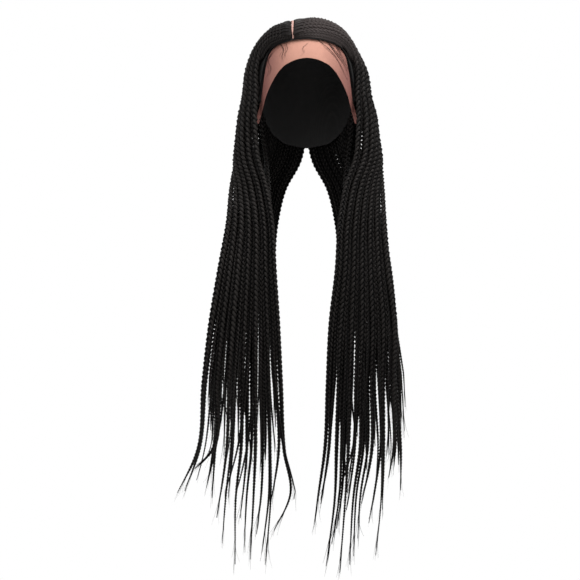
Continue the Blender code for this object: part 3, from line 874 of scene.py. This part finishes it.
@dataclass
class HairBed:
    """The hair on the cap: between the rows, along the hairline and gathered at the part.

    The hairline is seen from the front, in mm across from the middle and up, on the right.
    """

    nodes: dict
    flat_locks: int = 3
    raised_locks: int = 3
    hairline_locks: int = 13
    hairline_plaits: tuple = (0.34, 0.66)
    hairline_plait_radius_mm: float = 2.2
    root_locks: int = 7
    rings: int = 16
    rows_on_part: int = 11
    part_mm: float = -21.0
    part_front_mm: float = -26.0
    row_end_m: float = 0.112
    root_reach_mm: tuple = (7.0, 15.0)
    flat_lift_mm: float = 0.9
    raised_drop_mm: tuple = (0.8, 1.4)
    hairline_lift_mm: tuple = (0.8, 0.9)
    hairline_plait_lift_mm: tuple = (1.0, 0.8)
    hairline_plait_end_mm: float = 0.8
    root_lift_mm: float = 1.1
    flat_lock_mm: tuple = (1.9, 0.6)
    raised_lock_mm: tuple = (0.8, 1.3)
    hairline_lock_mm: tuple = (1.2, 1.0)
    root_lock_mm: tuple = (0.95, 0.8)
    hairline: tuple = (
        (0, -24), (20, -26), (40, -31), (53.5, -39), (62, -52), (67, -76), (70, -98), (73, -112),
    )

    def build(self, material: bpy.types.Material) -> bpy.types.Object:
        """Make the bed of locks.

        Args:
            material: The hair's material.

        Returns:
            The bed's object.
        """
        rng = random.Random(f"{SEED} bed")
        cap = cap_surface(self.nodes["cap"])
        store = MeshStore()
        for side in Side:
            lines = self._lines(side)
            rows = [self._cut(line) for line in lines]
            for first, second in zip(rows, rows[1:]):
                self._fill_gap(store, cap, first, second, rng)
            self._comb_hairline(store, cap, rows[0], self._hair_edge(cap, side), rng)
            for number in range(self.rows_on_part):
                beside = lines[number + 1].points[0] - lines[number].points[0]
                if number == self.rows_on_part - 1:
                    beside = lines[number].points[0] - lines[number - 1].points[0]
                self._gather_root(store, cap, lines[number], beside, rng)
        made = store.to_object("hair_bed", material)
        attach(made, "root")
        return made

    def _lines(self, side: Side) -> list[Centreline]:
        """The lines of the rows of one side, front to back."""
        return [
            Centreline.of_node(self.nodes[f"braid_{side.word}_{layer.word}_{n + 1}"]).smooth(2 * MM)
            for layer in (Layer.OUT, Layer.BACK)
            for n in range(layer.count)
        ]

    def _cut(self, line: Centreline) -> np.ndarray:
        """The part of a row that lies on the cap, with as many points for each row."""
        end = float(np.interp(self.row_end_m, -line.points[:, 2], line.lengths))
        return line.at(np.linspace(0, end, self.rings))[0]

    def _hair_edge(self, cap: BVHTree, side: Side) -> np.ndarray:
        """The hairline of one side, from the part to the ear, on the cap."""
        sign = side.sign
        knots = [(sign * x, z) for x, z in self.hairline if side is Side.RIGHT or x > -self.part_mm]
        knots = np.array([(self.part_mm + 2 * sign, self.part_front_mm), *knots]) * MM
        spans = np.concatenate([[0], np.cumsum(np.linalg.norm(np.diff(knots, axis=0), axis=1))])
        wanted = np.linspace(0, spans[-1], self.rings)
        edge = []
        for x, z in zip(*(np.interp(wanted, spans, column) for column in knots.T)):
            hit, _, _, _ = cap.ray_cast(Vector((x, -1, z + 1.5 * MM)), Vector((0, 1, 0)))
            if hit is None or hit.y > 0:
                hit, _, _, _ = cap.find_nearest(Vector((x, -0.02, z)))
            edge.append(np.array(hit))
        return np.array(edge)

    def _fill_gap(
        self, store: MeshStore, cap: BVHTree, first: np.ndarray, second: np.ndarray,
        rng: random.Random,
    ) -> None:
        """Lay flat locks on the cap between two rows, and raised ones up against the rows."""
        for lock in range(self.flat_locks):
            share = (lock + rng.uniform(0.2, 0.8)) / self.flat_locks
            path = first * (1 - share) + second * share
            places, normals = self._on_cap(cap, path)
            self._lay(store, places + normals * self.flat_lift_mm * MM, normals, self.flat_lock_mm)
        for lock in range(self.raised_locks):
            share = 0.5 + (lock - (self.raised_locks - 1) / 2) * 0.1 + rng.uniform(-0.02, 0.02)
            path = first * (1 - share) + second * share
            _, normals = self._on_cap(cap, path)
            path[1:] -= normals[1:] * rng.uniform(*self.raised_drop_mm) * MM
            self._lay(store, path, normals, self.raised_lock_mm)

    def _comb_hairline(
        self, store: MeshStore, cap: BVHTree, row: np.ndarray, edge: np.ndarray,
        rng: random.Random,
    ) -> None:
        """Comb locks along the hairline, from the lace's edge up to the first row."""
        low, rise = self.hairline_lift_mm
        for lock in range(self.hairline_locks):
            share = (lock + rng.uniform(0.2, 0.8)) / self.hairline_locks
            path = row * (1 - share) + edge * share
            _, normals = self._on_cap(cap, path)
            path += normals * (low + rise * math.sin(math.pi * share)) * MM
            self._lay(store, path, normals, self.hairline_lock_mm)
        low, rise = self.hairline_plait_lift_mm
        for share in self.hairline_plaits:
            path = row * (1 - share) + edge * share
            _, normals = self._on_cap(cap, path)
            radii = np.full(len(path), self.hairline_plait_radius_mm * MM)
            radii[0] = radii[-1] = self.hairline_plait_end_mm * MM
            path += normals * (low + rise * (1 - share)) * MM
            line = Centreline(path, radii).smooth(1.5 * MM)
            Plait(line, 5, 6, least_plait_mm=6.0, loose_mm=6.0, wisps=0).weave(store, rng)

    def _gather_root(
        self, store: MeshStore, cap: BVHTree, line: Centreline, beside: np.ndarray,
        rng: random.Random,
    ) -> None:
        """Gather the hair of a row's root from along the part."""
        start, radius = line.points[0], line.radii[0]
        ahead, ahead_radii = line.at(np.array(self.root_reach_mm) * MM)
        along = unit(ahead[0] - start)
        _, normals = self._on_cap(cap, start[None])
        t = np.linspace(0, 1, 7)[:, None]
        for lock in range(self.root_locks):
            share = (lock + rng.uniform(0.3, 0.7)) / self.root_locks - 0.5
            base = start - along * 1.0 * MM + beside * share + normals[0] * radius * 0.45
            end = ahead[1] + beside * share * 0.45 + normals[0] * ahead_radii[1] * 0.55
            path = base * (1 - t) + end * t + normals * np.sin(math.pi * t) * self.root_lift_mm * MM
            self._lay(store, path, np.repeat(normals, 7, axis=0), self.root_lock_mm)

    @staticmethod
    def _on_cap(cap: BVHTree, path: np.ndarray) -> tuple[np.ndarray, np.ndarray]:
        """The nearest places on the cap to a path, and the cap's normals there."""
        found = [cap.find_nearest(Vector(point)) for point in path]
        places = np.array([place for place, _, _, _ in found])
        away = unit(path - places)
        normals = np.array([normal for _, normal, _, _ in found])
        return places, unit(normals * np.sign((normals * away).sum(axis=1) + 1e-9)[:, None])

    @staticmethod
    def _lay(
        store: MeshStore, path: np.ndarray, normals: np.ndarray, size_mm: tuple[float, float]
    ) -> None:
        """Lay one lock along a path, of half the width and half the depth given."""
        width_mm, depth_mm = size_mm
        _, across, outward = lock_frames(path, normals)
        taper = np.ones(len(path))
        taper[0] = 0.5
        store.add_lock(path, across, outward, width_mm * MM * taper, depth_mm * MM * taper, 6)


def cap_surface(node: bpy.types.Object) -> BVHTree:
    """A search tree over a node's faces."""
    points = [Vector(v.co) for v in node.data.vertices]
    return BVHTree.FromPolygons(points, [tuple(p.vertices) for p in node.data.polygons])


def deselect_all() -> None:
    """Leave nothing selected, in object mode."""
    if bpy.context.object and bpy.context.object.mode != "OBJECT":
        bpy.ops.object.mode_set(mode="OBJECT")
    bpy.ops.object.select_all(action="DESELECT")


def copy_of_node(node: bpy.types.Object, name: str) -> bpy.types.Object:
    """Copy a CAD node as one closed mesh without doubles, and select it alone."""
    deselect_all()
    made = bpy.data.objects.new(name, node.data.copy())
    made.data.name = name
    bpy.context.scene.collection.objects.link(made)
    bpy.context.view_layer.objects.active = made
    made.select_set(True)
    if made.data.has_custom_normals:
        bpy.ops.mesh.customdata_custom_splitnormals_clear()
    bpy.ops.object.mode_set(mode="EDIT")
    bpy.ops.mesh.select_all(action="SELECT")
    bpy.ops.mesh.remove_doubles(threshold=0.00001)
    bpy.ops.mesh.tris_convert_to_quads(face_threshold=math.radians(60), shape_threshold=math.radians(60))
    bpy.ops.object.mode_set(mode="OBJECT")
    return made


def apply_modifier(made: bpy.types.Object, kind: str, **settings: object) -> None:
    """Add a modifier with its settings to an object, and apply it."""
    bpy.context.view_layer.objects.active = made
    modifier = made.modifiers.new(kind.title(), kind)
    for key, value in settings.items():
        setattr(modifier, key, value)
    bpy.ops.object.modifier_apply(modifier=modifier.name)


def dress(made: bpy.types.Object, material: bpy.types.Material) -> None:
    """Give an object one material in place of its own."""
    made.data.materials.clear()
    made.data.materials.append(material)


@dataclass
class NetCap:
    """The hollow stretch cap, smoothed from its solid."""

    node: bpy.types.Object
    smoothing: int = 1

    def build(self, material: bpy.types.Material) -> bpy.types.Object:
        """Make the cap and let it stand for its solid."""
        made = copy_of_node(self.node, "net_cap")
        apply_modifier(made, "SUBSURF", levels=self.smoothing, render_levels=self.smoothing)
        dress(made, material)
        bpy.ops.object.shade_smooth_by_angle(angle=math.radians(40))
        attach(made, "root")
        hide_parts(self.node.name)
        return made


@dataclass
class LaceFront:
    """The sheer lace along the front hairline, with its ear tabs."""

    node: bpy.types.Object
    smoothing: int = 1
    flat_m: tuple = (0.385, 0.05)
    area_m2: float = 0.0095
    cap_radius_m: float = 0.085

    def build(self, material: bpy.types.Material) -> bpy.types.Object:
        """Make the lace as a fine sheet and let it stand for its solid."""
        made = copy_of_node(self.node, "lace_sheet")
        apply_modifier(made, "SUBSURF", levels=self.smoothing, render_levels=self.smoothing)
        dress(made, material)
        self._map_net(made)
        bpy.ops.object.shade_smooth_by_angle(angle=math.radians(40))
        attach(made, "root")
        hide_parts(self.node.name)
        return made

    def _map_net(self, made: bpy.types.Object) -> None:
        """Unroll the lace round the cap: metres along the hairline across, height up."""
        mesh = made.data
        layer = mesh.uv_layers.new(name="lace")
        for loop in mesh.loops:
            point = mesh.vertices[loop.vertex_index].co
            layer.data[loop.index].uv = (self.cap_radius_m * math.atan2(point.x, -point.y), point.z)


@dataclass
class PartTape:
    """The skin-toned line of the part, smoothed from its solid."""

    node: bpy.types.Object

    def build(self, material: bpy.types.Material) -> bpy.types.Object:
        """Make the tape and let it stand for its solid."""
        made = copy_of_node(self.node, "part_tape")
        apply_modifier(made, "BEVEL", width=0.2 * MM, segments=2, limit_method="ANGLE")
        dress(made, material)
        bpy.ops.object.shade_smooth_by_angle(angle=math.radians(50))
        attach(made, "root")
        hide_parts(self.node.name)
        return made


@dataclass
class BabyHair:
    """The fine loose hairs that lie on the lace below the hairline.

    A stroke is a few points seen from the front, in mm across and up, then how many hairs
    it has and how far they spread.
    """

    nodes: dict
    radius_mm: float = 0.16
    strokes: tuple = (
        (((30, -27), (37, -36), (47, -49), (58, -62), (66, -80)), 8, 1.4),
        (((14, -25), (30, -38), (44, -53), (54, -72), (61, -86)), 4, 1.8),
        (((42, -31), (48, -43), (56, -57), (64, -69)), 5, 1.6),
        (((-42, -29), (-35, -40), (-39, -50), (-36, -58)), 4, 1.4),
        (((-33, -26), (-29, -39), (-34, -48), (-32, -55)), 3, 1.4),
        (((-52, -44), (-60, -58), (-55, -70), (-61, -84)), 5, 2.2),
        (((2, -30), (-6, -37), (-3, -44), (-9, -49)), 2, 2.0),
    )

    def build(self, material: bpy.types.Material) -> bpy.types.Object:
        """Make the baby hairs of all strokes as one piece."""
        rng = random.Random(f"{SEED} baby")
        lace = cap_surface(self.nodes["lace_front"])
        store = MeshStore()
        for stroke, hairs, spread in self.strokes:
            for _ in range(hairs):
                self._draw(store, lace, stroke, spread, rng)
        made = store.to_object("baby_hairs", material)
        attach(made, "root")
        return made

    def _draw(
        self, store: MeshStore, lace: BVHTree, stroke: tuple, spread: float, rng: random.Random
    ) -> None:
        """Draw one hair of a stroke onto the lace."""
        knots = np.array(stroke, dtype=float)
        knots += np.array([rng.uniform(-spread, spread), rng.uniform(-spread, spread)])
        knots[1:] += np.array([[rng.gauss(0, 0.9), rng.gauss(0, 0.9)] for _ in knots[1:]])
        end = rng.uniform(0.7, 1.0) * (len(knots) - 1)
        t = np.linspace(0, end, 22)
        flat = np.stack([np.interp(t, np.arange(len(knots)), c) for c in knots.T], axis=1)
        for _ in range(3):
            flat[1:-1] = (flat[:-2] + 2 * flat[1:-1] + flat[2:]) / 4
        points = []
        for x, z in flat * MM:
            hit, _, _, _ = lace.ray_cast(Vector((x, -1, z)), Vector((0, 1, 0)))
            if hit is not None:
                points.append(np.array(hit) + np.array([0, -0.3 * MM, 0]))
        if len(points) < 5:
            return
        points = np.array(points)
        _, across, outward = lock_frames(points, np.tile([0.0, -1.0, 0.0], (len(points), 1)))
        taper = np.interp(np.linspace(0, 1, len(points)), (0, 0.3, 1), (0.5, 1, 0.4))
        width = self.radius_mm * MM * taper
        store.add_lock(points, across, outward, width, width, 4)


@dataclass
class Wig:
    """All the pieces of the wig, with their finishes."""

    nodes: dict
    hair: BraidingHair = BraidingHair()
    net: StretchNet = StretchNet()
    lace: WigLace = WigLace()
    scalp: ScalpTape = ScalpTape()

    def build(self) -> list[bpy.types.Object]:
        """Build the cap, lace, part, hair bed, baby hairs and braids in that order."""
        hair = self.hair.build()
        made = [
            NetCap(self.nodes["cap"]).build(self.net.build()),
            LaceFront(self.nodes["lace_front"]).build(self.lace.build()),
            PartTape(self.nodes["part_strip"]).build(self.scalp.build()),
            HairBed(self.nodes).build(hair),
            BabyHair(self.nodes).build(hair),
        ]
        for side in Side:
            for layer in Layer:
                for number in range(1, layer.count + 1):
                    node = self.nodes[f"braid_{side.word}_{layer.word}_{number}"]
                    made.append(PlaitedBraid(node, layer).build(hair))
            inner = (
                InnerPlaits(self.nodes, side, Layer.OUT),
                InnerPlaits(self.nodes, side, Layer.MID, drift_outward_mm=0.0),
                InnerPlaits(self.nodes, side, Layer.BACK, inward_mm=3.0, radii_mm=(2.7, 3.9)),
            )
            made.extend(plaits.build(hair) for plaits in inner)
        return made


@dataclass
class Studio:
    """Plain floor, white surroundings and soft lights."""

    floor_z: float = -1.75
    floor_size: float = 24.0
    surroundings: float = 1.0
    aim: tuple = (0.0, -0.02, -0.35)
    lights: tuple = (
        ("key", (-1.6, -3.4, 1.5), 1.6, 60.0),
        ("fill", (2.2, -3.0, 0.4), 1.6, 25.0),
        ("top", (0.55, -0.7, 1.9), 1.2, 90.0),
    )

    def build(self) -> None:
        """Make the floor, the world and the lights."""
        deselect_all()
        bpy.ops.mesh.primitive_plane_add(size=self.floor_size, location=(0, 0, self.floor_z))
        bpy.ops.object.transform_apply(location=True)
        floor = bpy.context.object
        floor.name = "studio_floor"
        floor.data.materials.append(StudioFloor().build())
        world = bpy.data.worlds.new("white_studio")
        world.use_nodes = True
        world.node_tree.nodes.clear()
        background = add_node(
            world.node_tree,
            "ShaderNodeBackground",
            {"Color": linear("ffffff"), "Strength": self.surroundings},
        )
        add_node(
            world.node_tree,
            "ShaderNodeOutputWorld",
            {"Surface": background.outputs["Background"]},
        )
        bpy.context.scene.world = world
        for name, place, size, power in self.lights:
            lamp = bpy.data.lights.new(name, "AREA")
            lamp.shape = "DISK"
            lamp.size = size
            lamp.energy = power
            made = bpy.data.objects.new(name, lamp)
            made.location = place
            made.rotation_euler = (
                (Vector(self.aim) - Vector(place)).to_track_quat("-Z", "Y").to_euler()
            )
            bpy.context.scene.collection.objects.link(made)
        bpy.context.scene.view_settings.view_transform = "Standard"


@dataclass
class Camera:
    """A long lens straight in front, as the photograph was taken.

    The photograph is 580 by 580 pixels and spans 0.87 m where the hair hangs.
    """

    centre_x: float = -0.0255
    centre_z: float = -0.4013
    hair_y: float = -0.07
    distance: float = 6.0
    span: float = 0.87
    sensor_mm: float = 36.0

    def build(self) -> None:
        """Make the camera and set it as the scene's."""
        data = bpy.data.cameras.new("front")
        data.sensor_width = self.sensor_mm
        data.lens = self.sensor_mm * self.distance / self.span
        data.clip_end = 100
        made = bpy.data.objects.new("front", data)
        made.location = (self.centre_x, self.hair_y - self.distance, self.centre_z)
        made.rotation_euler = (math.radians(90), 0, 0)
        bpy.context.scene.collection.objects.link(made)
        bpy.context.scene.camera = made


def main() -> None:
    """Build the wig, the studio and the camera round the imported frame."""
    logging.basicConfig(level=logging.INFO, format="%(name)s: %(message)s")
    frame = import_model()
    Camera().build()
    for piece in Wig(frame["nodes"]).build():
        LOG.info("%s: %d triangles", piece.name, sum(len(f.vertices) - 2 for f in piece.data.polygons))
    Studio().build()


if __name__ == "__main__":
    main()
